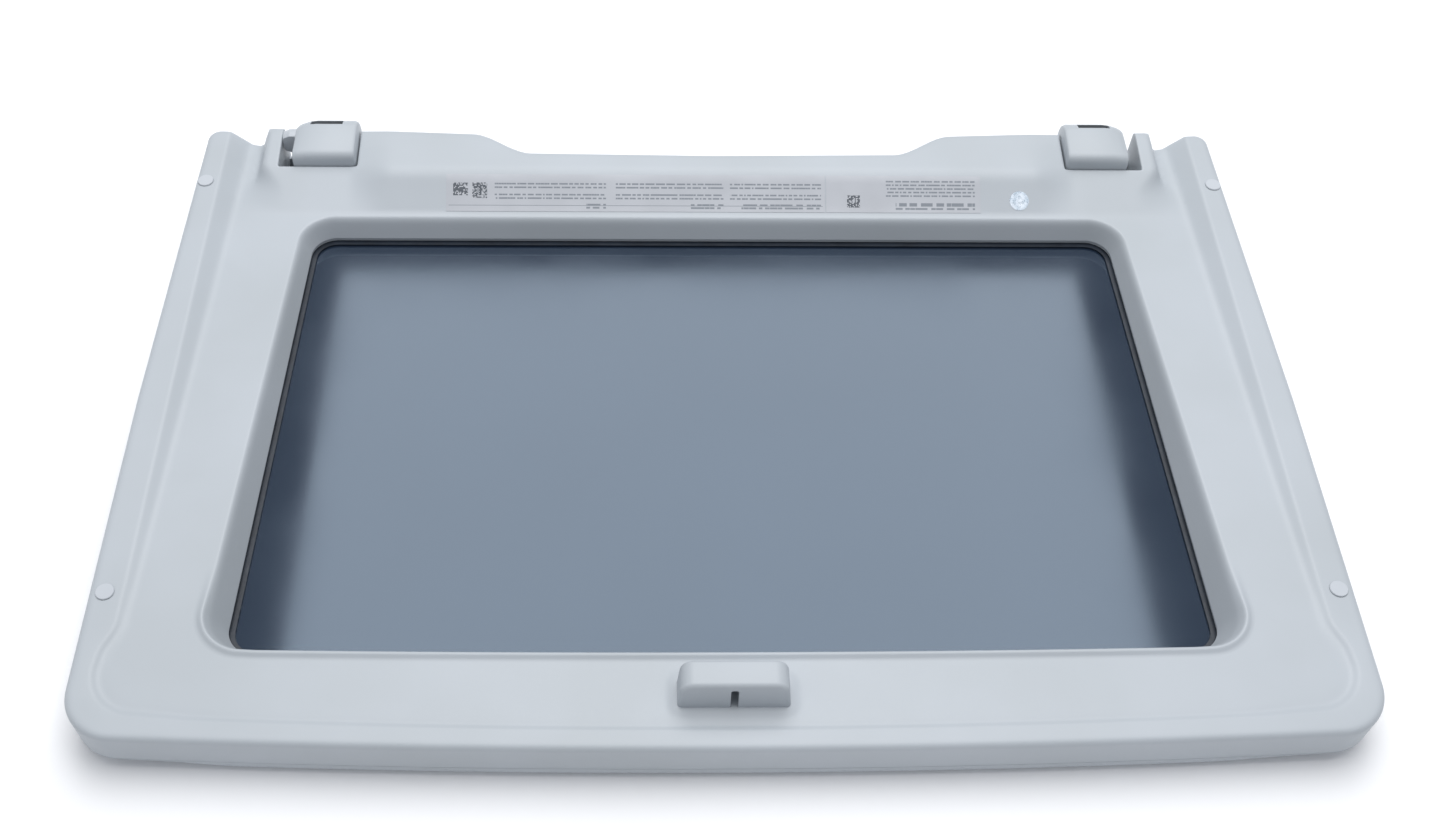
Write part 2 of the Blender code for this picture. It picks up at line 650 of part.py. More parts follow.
def hinge_bush_right(surface):
    """Turning bush in the right barrel, with a keyed socket for the machine's pin."""
    start = BARREL_INNER_X + 3 * MM + FIT_GAP
    bush = rod("hinge_bush_right", ROTOR_RADIUS, (start, AXIS_Y, AXIS_Z), BUSH_FACE_X - start, "X", 40)
    combine(bush, double_d("socket", SOCKET_RADIUS, BUSH_FACE_X - SOCKET_DEPTH, 20 * MM))
    finish(bush, surface)
    return place_origin(bush, (BUSH_FACE_X, AXIS_Y, AXIS_Z))


def barrel_plug(name, side, surface):
    start = min(side * (BARREL_INNER_X - 3 * MM), side * (BARREL_INNER_X - FIT_GAP))
    piece = rod(name, BARREL_RADIUS, (start, AXIS_Y, AXIS_Z), 3 * MM - FIT_GAP, "X", 40)
    return finish(piece, surface)


def hinge_bracket(name, side, surface):
    """Folded steel saddle: a base plate and two uprights that carry the barrel."""
    ends = sorted([side * 223.5 * MM, side * 254.5 * MM])
    base_bottom = BOSS_TOP + FIT_GAP
    piece = box(name, (ends[0], 180.5 * MM, base_bottom), (ends[1], 205 * MM, base_bottom + SHEET))
    for x in (227.5 * MM, 250.5 * MM):
        width = sorted([side * x, side * (x + SHEET)])
        low = (width[0], 191.5 * MM, base_bottom + 0.5 * MM)
        combine(piece, box("upright", low, (width[1], 204.9 * MM, 26 * MM)), "UNION")
    reach = min(side * 215 * MM, side * 260 * MM)
    combine(piece, rod("saddle", BARREL_RADIUS + FIT_GAP, (reach, AXIS_Y, AXIS_Z), 45 * MM, "X", 40))
    for x, y in BOSS_POINTS:
        combine(piece, rod("hole", 2.3 * MM, (side * x, y, 10 * MM), 20 * MM, segments=24))
    return finish(piece, surface)


def bracket_screws(surface):
    profile = screw_profile(3.6 * MM, 2.2 * MM, 2.0 * MM, 12.5 * MM)
    seat = BOSS_TOP + FIT_GAP + SHEET + FIT_GAP
    for side in (-1, 1):
        for number, (x, y) in enumerate(BOSS_POINTS, start=1):
            name = f"bracket_screw_{SIDE_NAMES[side]}_{number}"
            screw = turned(name, profile, (side * x, y, seat - 12.5 * MM), segments=20)
            finish(screw, surface)


def slope_point(up_slope, clearance):
    """A point (y, z) on the label slope, a distance above the face."""
    start = Vector((SLOPE_START_Y, panel_height(SLOPE_START_Y)))
    end = Vector((SLOPE_END_Y, DECK_TOP))
    along = (end - start).normalized()
    outward = Vector((-along.y, along.x))
    return start + along * up_slope + outward * clearance


def sticker(name, outline, surface):
    """A thin sticker on the slope behind the window, from an outline in (x, up the slope)."""
    rings = []
    for clearance in (FIT_GAP, FIT_GAP + 0.25 * MM):
        ring = []
        for x, up_slope in outline:
            point = slope_point(up_slope, clearance)
            ring.append((x, point.x, point.y))
        rings.append(ring)
    return finish(loft(name, rings), surface)


def stickers(paper, silver):
    low, high = 2.2 * MM, 25.7 * MM
    for name, start, end in (("care_label", -163.5, 68.5), ("rating_label", 69.1, 164.5)):
        outline = [(start * MM, low), (end * MM, low), (end * MM, high), (start * MM, high)]
        sticker(name, outline, paper)
    sticker("inspection_sticker", arc(188.5 * MM, 10 * MM, 5.9 * MM, 0, 345, 23), silver)


def build():
    clear_scene()
    white = material("white_moulding", (0.80, 0.82, 0.84), 0.45)
    glass = material("tinted_glass", (0.16, 0.20, 0.25), 0.05, alpha=0.6)
    black = material("black_rubber", (0.02, 0.02, 0.025), 0.6)
    adhesive = material("grey_adhesive", (0.12, 0.12, 0.12), 0.7)
    steel = material("zinc_steel", (0.60, 0.61, 0.62), 0.35, metallic=1.0)
    dark = material("dark_plastic", (0.05, 0.05, 0.055), 0.5)
    acetal = material("white_acetal", (0.78, 0.80, 0.82), 0.35)
    magnet = material("plated_magnet", (0.55, 0.55, 0.56), 0.3, metallic=1.0)
    paper = material("label_film", (0.74, 0.75, 0.78), 0.5)
    silver = material("silver_sticker", (0.70, 0.74, 0.78), 0.3, metallic=0.6)

    outer_frame(white)
    inner_cover(white)
    lid_glass(glass)
    glass_seals(black, adhesive)
    lock_strike(white)
    strike_fittings(steel, magnet)
    bumpers(white)
    for side, name in SIDE_NAMES.items():
        hinge_cap("hinge_cap_" + name, side, white)
        hinge_bracket("hinge_bracket_" + name, side, steel)
    barrel("damper_body_left", -1, dark)
    barrel_plug("damper_plug_left", -1, dark)
    barrel("bearing_housing_right", 1, dark)
    hinge_shaft_left(acetal)
    hinge_bush_right(acetal)
    bracket_screws(steel)
    stickers(paper, silver)


build()
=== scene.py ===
"""Lid of a top-load washing machine, lying on its outer face with its inner side up.

X runs along the hinge line, +Y points to the hinge edge, +Z is the inner side of the lid.
Outlines and heights are worked out in millimetres and turned to metres when a mesh is made.
"""
import math

import bmesh
import bpy
import numpy as np
from mathutils import Matrix, Vector
from mathutils.geometry import delaunay_2d_cdt
from mathutils.kdtree import KDTree


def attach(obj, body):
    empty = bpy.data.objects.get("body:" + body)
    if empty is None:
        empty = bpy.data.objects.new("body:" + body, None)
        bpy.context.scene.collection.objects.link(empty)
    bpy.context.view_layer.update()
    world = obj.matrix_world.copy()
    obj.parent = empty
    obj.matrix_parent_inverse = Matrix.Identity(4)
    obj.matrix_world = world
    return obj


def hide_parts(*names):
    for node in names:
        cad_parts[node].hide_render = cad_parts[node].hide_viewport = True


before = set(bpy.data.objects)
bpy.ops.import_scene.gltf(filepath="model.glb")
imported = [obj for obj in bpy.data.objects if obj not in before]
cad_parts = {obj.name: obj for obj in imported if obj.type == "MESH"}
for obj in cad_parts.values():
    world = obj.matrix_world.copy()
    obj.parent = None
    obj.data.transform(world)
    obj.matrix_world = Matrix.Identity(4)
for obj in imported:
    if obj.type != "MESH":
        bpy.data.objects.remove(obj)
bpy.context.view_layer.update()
MM = 0.001


# Viewpoint: somebody stands in front of the lid's free edge and looks down at it.
camera_data = bpy.data.cameras.new("viewpoint")
camera_data.lens = 38.77
camera_data.shift_x = 0.0254
camera = bpy.data.objects.new("viewpoint", camera_data)
camera.matrix_world = (
    Matrix.Translation((-0.0410, -0.5253, 0.7095))
    @ Matrix.Rotation(math.radians(-2.397), 4, "Z")
    @ Matrix.Rotation(math.radians(36.905), 4, "X")
    @ Matrix.Rotation(math.radians(1.945), 4, "Z"))
bpy.context.scene.collection.objects.link(camera)
bpy.context.scene.camera = camera
bpy.context.scene.view_settings.view_transform = "Standard"


# Floor and light: a plain matt white sweep under a broad soft ceiling light that stands a
# little behind the lid, so that what faces the front edge is in soft shade.
def colour(hex_code):
    """Linear colour of an sRGB hex value."""
    parts = [int(hex_code[start:start + 2], 16) / 255 for start in (0, 2, 4)]
    linear = [part / 12.92 if part <= 0.04045 else ((part + 0.055) / 1.055) ** 2.4
              for part in parts]
    return (*linear, 1.0)


def new_surface(name, **settings):
    """A material and its Principled shader, with values set on the shader's own sockets."""
    surface = bpy.data.materials.new(name)
    surface.use_nodes = True
    shader = surface.node_tree.nodes["Principled BSDF"]
    for socket, value in settings.items():
        shader.inputs[socket.replace("_", " ")].default_value = value
    return surface, shader


def add_node(surface, kind, inputs=None, outlet=0, **settings):
    """Add one node. An input is a value, or an output socket to link; returns an output."""
    node = surface.node_tree.nodes.new(kind)
    for name, value in settings.items():
        setattr(node, name, value)
    for socket, value in (inputs or {}).items():
        if isinstance(value, bpy.types.NodeSocket):
            surface.node_tree.links.new(value, node.inputs[socket])
        else:
            node.inputs[socket].default_value = value
    return node.outputs[outlet]


def link(surface, output, shader, socket):
    surface.node_tree.links.new(output, shader.inputs[socket])


def object_place(surface):
    """Place on the piece in metres."""
    return add_node(surface, "ShaderNodeTexCoord", outlet="Object")


def noise(surface, period, detail=2.0, roughness=0.5):
    """Noise whose lumps are about period metres across."""
    return add_node(surface, "ShaderNodeTexNoise", {
        "Vector": object_place(surface), "Scale": 1 / period, "Detail": detail,
        "Roughness": roughness})


def tint_by(surface, factor, dark, light, low=0.35, high=0.65):
    """Colour that runs from dark to light as factor goes from low to high."""
    part = add_node(surface, "ShaderNodeMapRange", {
        "Value": factor, "From Min": low, "From Max": high})
    return mix(surface, part, colour(dark), colour(light))


def mix(surface, factor, first, second):
    """Colour that goes from the first to the second as factor goes from 0 to 1."""
    node = surface.node_tree.nodes.new("ShaderNodeMix")
    node.data_type = "RGBA"
    for index, value in ((0, factor), (6, first), (7, second)):
        if isinstance(value, bpy.types.NodeSocket):
            surface.node_tree.links.new(value, node.inputs[index])
        else:
            node.inputs[index].default_value = value
    return node.outputs[2]


def value_between(surface, factor, low, high):
    """A number that runs from low to high over the middle of a noise."""
    return add_node(surface, "ShaderNodeMapRange", {
        "Value": factor, "From Min": 0.3, "From Max": 0.7, "To Min": low, "To Max": high})


def bump(surface, height, distance, strength=1.0):
    return add_node(surface, "ShaderNodeBump", {
        "Height": height, "Distance": distance, "Strength": strength})


def wear(piece, surface):
    """Give a piece one material."""
    piece.data.materials.clear()
    piece.data.materials.append(surface)


floor_paint, shader = new_surface("matt_white_sweep", Roughness=0.85)
clouds = noise(floor_paint, 0.4)
link(floor_paint, tint_by(floor_paint, clouds, "F7F7F8", "FBFBFC"), shader, "Base Color")
link(floor_paint, bump(floor_paint, noise(floor_paint, 0.004), 0.00005), shader, "Normal")
bpy.ops.object.select_all(action="DESELECT")
bpy.ops.mesh.primitive_plane_add(size=12, location=(0, 0, -0.0003))
floor = bpy.context.object
floor.name = "floor"
bpy.ops.object.transform_apply(location=True, rotation=True, scale=True)
wear(floor, floor_paint)

sky = bpy.data.worlds.new("soft_white_room")
sky.use_nodes = True
sky.node_tree.nodes["Background"].inputs["Color"].default_value = colour("F4F8FF")
sky.node_tree.nodes["Background"].inputs["Strength"].default_value = 0.47
bpy.context.scene.world = sky
for name, place, size, power, aimed in (
        ("ceiling_light", (0.125, 0.9, 2.3), (1.9, 2.6), 62, False),
        ("side_light", (-2.2, -0.3, 1.6), (1.4, 1.4), 2, True)):
    lamp = bpy.data.lights.new(name, "AREA")
    lamp.shape = "RECTANGLE"
    lamp.size, lamp.size_y = size
    lamp.energy = power
    holder = bpy.data.objects.new(name, lamp)
    holder.location = place
    if aimed:
        holder.rotation_euler = (-Vector(place)).to_track_quat("-Z", "Y").to_euler()
    bpy.context.scene.collection.objects.link(holder)


# Finishes of the white parts: ABS, injection moulded in a spark-eroded tool. It is satin, with
# a fine grain of about 0.3 mm, drawn at 0.7 mm so that it shows, and very faint flow clouds.
def moulded_plastic(name, dark, light, roughness, grain=0.0007, depth=0.00006):
    """Satin plastic; grain is the width of its texture's lumps and depth their height, in m."""
    surface, shader = new_surface(name, IOR=1.53, Specular_IOR_Level=0.45)
    clouds = noise(surface, 0.09, 3)
    link(surface, tint_by(surface, clouds, dark, light), shader, "Base Color")
    fine = noise(surface, grain, 3, 0.6)
    gloss = value_between(surface, fine, roughness - 0.05, roughness + 0.06)
    link(surface, gloss, shader, "Roughness")
    link(surface, bump(surface, fine, depth, 0.5), shader, "Normal")
    return surface


white_abs = moulded_plastic("white_abs_spark_grain", "B2B8BD", "B7BDC3", 0.46)


# Shape of the lid in plan. The front edge is bowed, the sides draw in by 4 mm behind the
# middle, and the back edge has two hinge humps with a lower stretch between them.
HALF_WIDTH, FRONT_Y, FRONT_BOW = 320, -210.8, 7
BACK_RAIL_Y, BACK_HUMP_Y, BACK_MIDDLE_Y = 212, 203.5, 185
CORNER_X, CORNER_Y, CORNER_R = 293, -176.8, 27


def arc(center_x, center_y, radius, start, end, steps):
    """Points along an arc between two angles in degrees."""
    angles = np.radians(np.linspace(start, end, steps + 1))
    return [(center_x + radius * math.cos(a), center_y + radius * math.sin(a)) for a in angles]


def smooth(low, high, value):
    """0 to 1 between low and high, level at both ends."""
    ratio = np.clip((value - low) / (high - low), 0.0, 1.0)
    return ratio * ratio * (3 - 2 * ratio)


def eased(start, end, steps):
    """S-shaped run from start to end whose second value eases, without the start."""
    return [(start[0] + (end[0] - start[0]) * step / steps,
             start[1] + (end[1] - start[1]) * float(smooth(0, steps, step)))
            for step in range(1, steps + 1)]


def whole(right_half, spacing=2.8):
    """Close an outline from its right half, with no run longer than spacing."""
    left_half = [(-x, y) for x, y in reversed(right_half) if x > 0.01]
    points = np.array(right_half + left_half)
    closed = []
    for here, after in zip(points, np.roll(points, -1, axis=0)):
        count = max(1, math.ceil(np.linalg.norm(after - here) / spacing))
        closed += [here + (after - here) * step / count for step in range(count)]
    return np.array(closed)


def inset(points, amount):
    """Move a closed counter-clockwise outline inwards by an amount."""
    before = points - np.roll(points, 1, axis=0)
    after = np.roll(points, -1, axis=0) - points
    before /= np.linalg.norm(before, axis=1)[:, None]
    after /= np.linalg.norm(after, axis=1)[:, None]
    inward = np.stack([-before[:, 1] - after[:, 1], before[:, 0] + after[:, 0]], axis=1)
    inward /= (1 + (before * after).sum(axis=1))[:, None]
    return points + inward * amount


edge = [(x, FRONT_Y + FRONT_BOW * (x / CORNER_X) ** 2)
        for x in np.linspace(0, CORNER_X, 60)[:-1]]
edge += arc(CORNER_X, CORNER_Y, CORNER_R, -90, 0, 26)
edge += [(HALF_WIDTH, 0)]
edge += arc(308, BACK_RAIL_Y - 8, 8, 0, 90, 10)
edge += [(293, 211), (289, 209.9), (285, 209.1), (266, 208.3), (219, 206.5), (150, BACK_HUMP_Y)]
edge += eased((150, BACK_HUMP_Y), (112, 186.5), 22) + [(0, BACK_MIDDLE_Y)]
LID_EDGE = whole(edge)


# Outer frame: the shallow white tray under the cover. Its bottom edge is generously rounded,
# a rib stands up inside the cover's wall, and a ledge holds the glass from above.
LEDGE_BOTTOM, LEDGE_TOP = 6.4, 8.4
TRAY_TOP, TRAY_FLOOR, RIB_TOP = 8.7, 3.0, 13.0
RIB_OUTSIDE, RIB_INSIDE = 2.9, 4.8


def window_edge(grow=0.0):
    """Foot of the window: a rounded trapezium with a bowed front."""
    front, back, radius, bow = -150 - grow, 138 + grow, 14 + grow, 2.5
    half_front, half_back = 252.5 + grow, 244 + grow
    points = [(x, front + bow * (x / half_front) ** 2)
              for x in np.linspace(0, half_front - radius, 40)[:-1]]
    points += arc(half_front - radius, front + bow + radius, radius, -90, 0, 16)
    points += arc(half_back - radius, back - radius, radius, 0, 90, 16)
    return whole(points + [(0, back)])


def glass_edge(grow=0.0):
    """Edge of the glass pane, a rounded rectangle."""
    half, front, back, radius = 266 + grow, -168 - grow, 156 + grow, 20 + grow
    points = [(0, front)] + arc(half - radius, front + radius, radius, -90, 0, 12)
    points += arc(half - radius, back - radius, radius, 0, 90, 12) + [(0, back)]
    return whole(points)


def by_angle(outline, angles):
    """Points of an outline at given directions from the lid's middle."""
    turned = np.arctan2(outline[:, 1], outline[:, 0])
    order = np.argsort(turned)
    return np.stack([np.interp(angles, turned[order], outline[order, axis], period=2 * math.pi)
                     for axis in (0, 1)], axis=1)


def new_piece(name, mesh_data):
    """Turn a bmesh in millimetres into an object with smooth faces, in metres."""
    bmesh.ops.scale(mesh_data, vec=(MM, MM, MM), verts=mesh_data.verts)
    mesh = bpy.data.meshes.new(name)
    mesh_data.to_mesh(mesh)
    mesh_data.free()
    mesh.shade_smooth()
    piece = bpy.data.objects.new(name, mesh)
    bpy.context.scene.collection.objects.link(piece)
    return piece


def apply_modifier(piece, kind, **settings):
    """Add a modifier to a piece and apply it."""
    bpy.ops.object.select_all(action="DESELECT")
    piece.select_set(True)
    bpy.context.view_layer.objects.active = piece
    change = piece.modifiers.new("change", kind)
    for name, value in settings.items():
        setattr(change, name, value)
    bpy.ops.object.modifier_apply(modifier=change.name)


def smooth_by_angle(piece, degrees):
    bpy.ops.object.select_all(action="DESELECT")
    piece.select_set(True)
    bpy.context.view_layer.objects.active = piece
    bpy.ops.object.shade_smooth_by_angle(angle=math.radians(degrees))


# The tray's section as rings: each is an outline in plan and its height. The wall and the
# bottom edge come first, with the two front corners drawn in further, like a ball.
directions = np.sort(np.arctan2(LID_EDGE[:, 1], LID_EDGE[:, 0]))
ball = (smooth(235, 306, np.abs(LID_EDGE[:, 0])) * smooth(-140, -190, LID_EDGE[:, 1]))[:, None]
frame_rings = [(inset(LID_EDGE, step + more * ball), height) for step, more, height in (
    (RIB_OUTSIDE, 0, TRAY_TOP), (0.35, 0, TRAY_TOP), (0.08, 0, 8.6), (0, 0, 8.3), (0, 0.7, 6.8),
    (0, 1.6, 5.6), (0.2, 2.8, 4.3), (0.7, 4.2, 3.0), (1.6, 5.8, 1.8), (2.9, 7.6, 0.8),
    (4.4, 9.4, 0.2), (6.0, 11.0, 0.0))]
frame_rings += [
    (glass_edge(1.1), 0.0), (glass_edge(0.7), 0.15), (glass_edge(0.5), 0.6),
    (glass_edge(0.5), LEDGE_BOTTOM), (window_edge(1), LEDGE_BOTTOM), (window_edge(1), LEDGE_TOP),
    (glass_edge(3), LEDGE_TOP), (glass_edge(3), TRAY_FLOOR),
    (inset(LID_EDGE, RIB_INSIDE), TRAY_FLOOR), (inset(LID_EDGE, RIB_INSIDE), RIB_TOP),
    (inset(LID_EDGE, RIB_OUTSIDE), RIB_TOP)]
mesh_data = bmesh.new()
stacks = [[mesh_data.verts.new((x, y, height)) for x, y in by_angle(outline, directions)]
          for outline, height in frame_rings]
for lower, upper in zip(stacks, stacks[1:] + stacks[:1]):
    for index in range(len(lower)):
        following = (index + 1) % len(lower)
        mesh_data.faces.new((lower[index], lower[following], upper[following], upper[index]))
bmesh.ops.recalc_face_normals(mesh_data, faces=mesh_data.faces)
tray = new_piece("outer_tray", mesh_data)
smooth_by_angle(tray, 40)
wear(tray, white_abs)
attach(tray, "lid")
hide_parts("outer_frame")


# Inner cover: one deep white moulding. Its top is worked out as a height over the plan, with
# soft radii where a rail drops to the panel, where the panel turns down into the window and
# where the hinge deck rises; the mesh follows those lines. Mesh code makes it, because hand
# operators can't round edges whose height changes all the way along.
RAIL_TOP, RAIL_INNER_X = 30, 302.7
PANEL_TOP, PANEL_Y, PANEL_FALL = 27.5, -122, 0.0213
WINDOW_FOOT_Z = 8
WALL_SLOPE = 17 / 6.3
SLOPE_START_Y, SLOPE_END_Y, DECK_TOP = 146, 169.5, 36.5
POCKET_INNER_X, POCKET_OUTER_X, POCKET_FRONT_Y, POCKET_RIM_Z = 219.4, 267.8, 177, 32.5
BEHIND_Y = 225
STRIKE_LOW_X, STRIKE_HIGH_X, STRIKE_FRONT_Y, STRIKE_BACK_Y = -26.5, 28.5, -189, -173
STRIKE_BOTTOM, STRIKE_TOP = 28.4, 49
COVER_FOOT, COVER_WALL = 9.0, 2.4


def sunken_edge():
    """Inner edge of the rim and rails, carried straight on past the back edge."""
    points = [(x, -199.9 + 4.6 * (x / 223.6) ** 2) for x in np.linspace(0, 264, 60)[:-1]]
    points += arc(284.4, -166.7, 24.8, -80, 8, 24)
    points += [(x, y) for y, x in eased((-160, 308.6), (-140, RAIL_INNER_X), 8)]
    return whole(points + [(RAIL_INNER_X, 235), (0, 235)])


def pocket_edge(side, grow):
    """Edge of a hinge pocket, grown outwards; it runs past the back edge."""
    low, high = POCKET_INNER_X - grow, POCKET_OUTER_X + grow
    front, radius = POCKET_FRONT_Y - grow, 1.2 + grow
    points = [(low, y) for y in np.linspace(BEHIND_Y, front + radius, 34)[:-1]]
    points += arc(low + radius, front + radius, radius, 180, 270, 5)
    points += [(x, front) for x in np.linspace(low + radius, high - radius, 32)[1:-1]]
    points += arc(high - radius, front + radius, radius, -90, 0, 5)
    points += [(high, y) for y in np.linspace(front + radius, BEHIND_Y, 34)[1:]]
    return np.array([(side * x, y) for x, y in points])


def strike_pad(grow):
    """Outline of the strike's foot, grown outwards."""
    low, high = STRIKE_LOW_X - grow, STRIKE_HIGH_X + grow
    front, back, radius = STRIKE_FRONT_Y - grow, STRIKE_BACK_Y + grow, 3 + grow
    points = arc(high - radius, front + radius, radius, -90, 0, 5)
    points += arc(high - radius, back - radius, radius, 0, 90, 5)
    points += arc(low + radius, back - radius, radius, 90, 180, 5)
    points += arc(low + radius, front + radius, radius, 180, 270, 5)
    closed = []
    for here, after in zip(np.array(points), np.roll(points, -1, axis=0)):
        count = max(1, math.ceil(np.linalg.norm(after - here) / 2.2))
        closed += [here + (after - here) * step / count for step in range(count)]
    return np.array(closed)


def distance_to(points, outline, closed=True):
    """Shortest distance from each point to an outline."""
    best = np.full(len(points), np.inf)
    ends = np.roll(outline, -1, axis=0)
    for start, end in zip(outline if closed else outline[:-1], ends if closed else ends[:-1]):
        run = end - start
        length = run @ run
        if length < 1e-9:
            continue
        along = np.clip(((points - start) @ run) / length, 0, 1)
        best = np.minimum(best, ((points - start - along[:, None] * run) ** 2).sum(axis=1))
    return np.sqrt(best)


def within(points, outline):
    """Which points lie inside a closed outline."""
    odd = np.zeros(len(points), bool)
    x, y = points[:, 0], points[:, 1]
    for (ax, ay), (bx, by) in zip(outline, np.roll(outline, -1, axis=0)):
        if ay != by:
            odd ^= ((ay > y) != (by > y)) & (x < ax + (y - ay) * (bx - ax) / (by - ay))
    return odd


def rounded_ramp(low, high, foot, top, value):
    """0 to 1 between low and high, its two bends rounded over foot and top."""
    def bend(distance, reach):
        curved = (distance + reach) ** 2 / (4 * reach)
        return np.where(distance < -reach, 0, np.where(distance > reach, distance, curved))
    return (bend(value - low, foot) - bend(value - high, top)) / (high - low)


def round_over(distance, radius):
    """How far a rounded edge drops at a distance in from the edge."""
    inner = np.clip(radius - distance, 0, radius)
    return radius - np.sqrt(radius ** 2 - inner ** 2)


SUNKEN = sunken_edge()
FOOT = window_edge()


def cover_height(points):
    """Height of the cover's upper surface at points in plan."""
    x, y = np.abs(points[:, 0]), points[:, 1]
    panel = PANEL_TOP - PANEL_FALL * (y - PANEL_Y)
    # Rails and rim, and the soft drop from them to the panel.
    depth = RAIL_TOP - panel
    into = distance_to(points, SUNKEN) * np.where(within(points, SUNKEN), 1, -1)
    corner = smooth(240, 290, x) * smooth(-125, -165, y)
    band = 1.6 + 0.95 * depth + 0.8 * smooth(-170, -110, y) + 3.2 * corner
    depth = depth + 0.5 * corner
    top = RAIL_TOP - depth * rounded_ramp(0.2, band, 1.2, 1.8, into)
    # A shallow groove along the rim, wider at the front corners.
    near_corner = smooth(236, 292, x) * smooth(-118, -166, y)
    from_middle = (into - 1.6 - 1.2 * near_corner) / (1.7 + near_corner)
    groove = (0.5 + 0.4 * near_corner) * np.exp(-from_middle ** 2)
    top = top - groove * smooth(-110, -165, y)
    # The slope up to the hinge deck, lower beside the hinge pockets.
    middle = (DECK_TOP - panel) * rounded_ramp(SLOPE_START_Y, SLOPE_END_Y, 3, 4.5, y)
    sides = (POCKET_RIM_Z - panel) * rounded_ramp(SLOPE_START_Y, POCKET_FRONT_Y, 3, 3, y)
    sides = sides + 3 * rounded_ramp(POCKET_FRONT_Y, 205, 3, 3, y)
    rise = middle + (sides - middle) * smooth(197, 225, x)
    behind = smooth(160, 180, y)
    top = top + rise * (1 - smooth(262 + 14 * behind, 292 - 8 * behind, x))
    # A low swell round the strike's foot.
    pad = distance_to(points, strike_pad(0)) * np.where(within(points, strike_pad(0)), 0, 1)
    top = top + 1.3 * (1 - smooth(0, 6.5, pad))
    # The window: a raised bead along its front, its slanted wall and the round between them.
    out = distance_to(points, FOOT) * np.where(within(points, FOOT), -1, 1)
    crest = out - (panel - WINDOW_FOOT_Z) / WALL_SLOPE - 1.9
    across_bead = np.abs(crest) / np.where(crest < 0, 2.6, 3.6)
    top = top + 1.9 * smooth(-104, -146, y) * (1 - smooth(0, 1, across_bead))
    wall = WINDOW_FOOT_Z + out * WALL_SLOPE
    reach = 4.5
    top = np.minimum(top, wall) - np.clip(reach - np.abs(top - wall), 0, None) ** 2 / (4 * reach)
    # The rounded outer edge and the crisper edges of the hinge pockets.
    drop = round_over(distance_to(points, LID_EDGE), 3.3)
    for side in (-1, 1):
        from_pocket = distance_to(points, pocket_edge(side, 0), closed=False)
        drop = np.maximum(drop, round_over(from_pocket, 0.9))
    return top - drop


# Lines that the mesh follows, then a grid of free points between them, joined by triangles.
lines = [(inset(LID_EDGE, step), True) for step in (0, 0.08, 0.3, 0.7, 1.3, 2.1, 3.3, 5.0)]
lines += [(inset(SUNKEN, step), True) for step in (
    -1.6, -0.8, -0.3, 0.2, 0.7, 1.2, 1.8, 2.5, 3.3, 4.2, 5.3, 6.6, 8.2, 10.2, 12.6, 15.2)]
lines += [(inset(FOOT, -step), True) for step in (
    0.37, 1.6, 2.8, 3.7, 4.3, 4.9, 5.5, 6.1, 6.7, 7.3, 7.9, 8.5, 9.2, 9.9, 10.7, 11.6, 12.6, 14.0)]
lines += [(strike_pad(step), True) for step in (-1, 0, 1.2, 2.4, 3.6, 4.8, 6.5)]
for side in (-1, 1):
    lines += [(pocket_edge(side, step), False) for step in (0, 0.1, 0.35, 0.9, 1.8)]
knots, runs = [], []
for outline, closed in lines:
    first = len(knots)
    knots += [Vector(point) for point in outline]
    last = len(knots)
    runs += [(index, index + 1) for index in range(first, last - 1)]
    if closed:
        runs.append((last - 1, first))
near = KDTree(len(knots))
for index, knot in enumerate(knots):
    near.insert((knot.x, knot.y, 0), index)
near.balance()
COARSE_PITCH, FINE_PITCH, FINE_FROM_Y = 5.0, 2.3, 136
for low_y, high_y, pitch in ((-215, FINE_FROM_Y, COARSE_PITCH), (FINE_FROM_Y, 214, FINE_PITCH)):
    xs = np.arange(-322, 322, pitch)
    for row, y in enumerate(np.arange(low_y, high_y, pitch * 0.87)):
        for x in xs + (pitch / 2 if row % 2 else 0):
            if near.find((x, y, 0))[2] > pitch * 0.62:
                knots.append(Vector((x, y)))
flat, _, triangles, *_ = delaunay_2d_cdt(knots, runs, [], 0, 1e-4)
flat = np.array([tuple(point) for point in flat])
corners = np.array(triangles)
middles = flat[corners].mean(axis=1)
keep = within(middles, LID_EDGE) & ~within(middles, inset(FOOT, -0.37))
beside = np.abs(middles[:, 0])
keep &= ~((beside > POCKET_INNER_X) & (beside < POCKET_OUTER_X) & (middles[:, 1] > POCKET_FRONT_Y))
heights = cover_height(flat)
mesh_data = bmesh.new()
points = [mesh_data.verts.new((x, y, z)) for (x, y), z in zip(flat, heights)]
for triangle in corners[keep]:
    mesh_data.faces.new([points[index] for index in triangle])
unused = [vert for vert in mesh_data.verts if not vert.link_faces]
bmesh.ops.delete(mesh_data, geom=unused, context="VERTS")
bmesh.ops.recalc_face_normals(mesh_data, faces=mesh_data.faces)
if sum(face.normal.z for face in mesh_data.faces) < 0:
    bmesh.ops.reverse_faces(mesh_data, faces=mesh_data.faces)
# Walls go down from the outer edge and from the pockets' edges, but not from the window's foot.
outside = [item for item in mesh_data.edges
           if item.is_boundary and min(vert.co.z for vert in item.verts) > 12]
for foot_z in (COVER_FOOT + 0.5, COVER_FOOT):
    made = bmesh.ops.extrude_edge_only(mesh_data, edges=outside)
    outside = [item for item in made["geom"] if isinstance(item, bmesh.types.BMEdge)]
    for item in made["geom"]:
        if isinstance(item, bmesh.types.BMVert):
            item.co.z = foot_z
bmesh.ops.recalc_face_normals(mesh_data, faces=mesh_data.faces)
if sum(face.normal.z * face.calc_area() for face in mesh_data.faces) < 0:
    bmesh.ops.reverse_faces(mesh_data, faces=mesh_data.faces)
cover = new_piece("cover_moulding", mesh_data)
apply_modifier(cover, "SOLIDIFY", thickness=COVER_WALL * MM, offset=-1.0)
smooth_by_angle(cover, 50)
